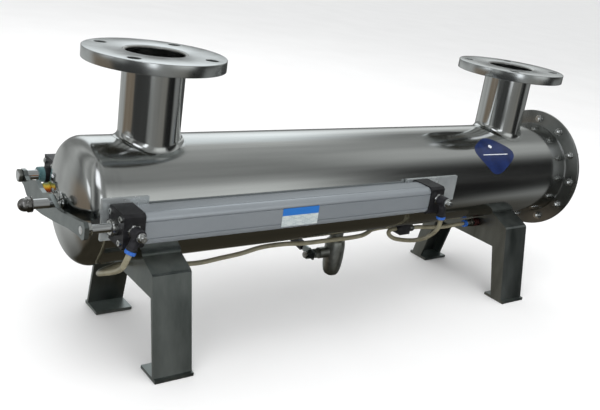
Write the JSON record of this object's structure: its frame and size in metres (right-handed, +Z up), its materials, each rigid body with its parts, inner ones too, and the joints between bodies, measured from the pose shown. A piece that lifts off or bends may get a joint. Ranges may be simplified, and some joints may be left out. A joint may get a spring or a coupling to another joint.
{
  "type": "ultraviolet water steriliser",
  "caption": "Horizontal stainless ultraviolet water clarifier on saddles, with flanged nozzles, a bolted end and an air cylinder that wipes the lamp sleeves.",
  "frame": {"origin": "bottom centre of the rigid parts' bounding box, on the floor under the base plates", "axes": "+X along the vessel towards the bolted end, +Y away from the air cylinder side, +Z up"},
  "size_m": [1.1074, 0.318, 0.45],
  "materials": {
    "polished_stainless": "mirror polished stainless steel",
    "satin_stainless": "satin stainless steel",
    "frame_stainless": "dull polished stainless sheet, bluish grey",
    "bright_metal": "bright plated",
    "hard_chrome": "hard chromed",
    "rubber_black": "matt",
    "quartz": "clear quartz",
    "lamp_glass": "frosted",
    "ptfe_white": "matt white",
    "satin_aluminium": "satin anodised",
    "black_painted": "semi-gloss black",
    "black_plastic": "moulded black",
    "dark_metal": "dark grey",
    "nickel_brass": "nickel plated brass",
    "red_plastic": "orange red",
    "hose_olive": "translucent olive beige"
  },
  "bodies": {
    "vessel": {"air_valve": "black_plastic", "bracket_front": "polished_stainless", "bracket_rear": "polished_stainless", "bulkhead_fitting": "nickel_brass", "cylinder_barrel": "satin_aluminium", "dished_head": "polished_stainless", "drain_neck": "polished_stainless", "drain_valve_body": "dark_metal", "end_bolt_01": "bright_metal", "end_bolt_02": "bright_metal", "end_bolt_03": "bright_metal", "end_bolt_04": "bright_metal", "end_bolt_05": "bright_metal", "end_bolt_06": "bright_metal", "end_bolt_07": "bright_metal", "end_bolt_08": "bright_metal", "end_bolt_09": "bright_metal", "end_bolt_10": "bright_metal", "end_bolt_11": "bright_metal", "end_bolt_12": "bright_metal", "end_cover": "polished_stainless", "end_flange": "satin_stainless", "end_gasket": "rubber_black", "flow_control_front": "black_plastic", "flow_control_rear": "black_plastic", "front_cap": "black_painted", "guide_block": "black_painted", "hose_front": "hose_olive", "hose_rear": "hose_olive", "hose_supply": "hose_olive", "inlet_flange": "polished_stainless", "inlet_nozzle": "polished_stainless", "lamp_gland_a": "black_plastic", "lamp_gland_b": "black_plastic", "lead_gland": "red_plastic", "outlet_flange": "polished_stainless", "outlet_nozzle": "polished_stainless", "quartz_sleeve_a": "quartz", "quartz_sleeve_b": "quartz", "rear_cap": "black_painted", "saddle_left": "frame_stainless", "saddle_right": "frame_stainless", "uv_lamp_a": "lamp_glass", "uv_lamp_b": "lamp_glass", "vessel_shell": "polished_stainless", "wiper_gland": "bright_metal"},
    "wiper_carriage": {"yoke_plate": "satin_stainless", "rod_nut": "bright_metal", "guide_rod": "hard_chrome", "guide_nut": "dark_metal", "wiper_rod": "hard_chrome", "dome_nut": "bright_metal", "wiper_plate_near": "ptfe_white", "wiper_plate_far": "ptfe_white", "piston_rod": "hard_chrome"},
    "drain_handle": {"drain_ball": "hard_chrome", "drain_lever": "satin_stainless", "lever_grip": "black_plastic"},
    "adjuster_screw_front": {"adjuster_front": "bright_metal"},
    "adjuster_screw_rear": {"adjuster_rear": "bright_metal"}
  },
  "joints": [
    {"name": "wiper_slide", "type": "slide", "parent": "vessel", "child": "wiper_carriage", "axis": [-1, 0, 0], "range_m": [0, 0.46]},
    {"name": "drain_turn", "type": "hinge", "parent": "vessel", "child": "drain_handle", "pos_m": [0.01485, 0.017, 0.1014], "axis": [-1, 0, 0], "range_deg": [0, 90]},
    {"name": "adjuster_front_turn", "type": "hinge", "parent": "vessel", "child": "adjuster_screw_front", "pos_m": [-0.45115, -0.143, 0.2454], "axis": [0, -1, 0], "range_deg": [-180, 180]},
    {"name": "adjuster_rear_turn", "type": "hinge", "parent": "vessel", "child": "adjuster_screw_rear", "pos_m": [0.09685, -0.143, 0.2474], "axis": [0, -1, 0], "range_deg": [-180, 180]}
  ]
}
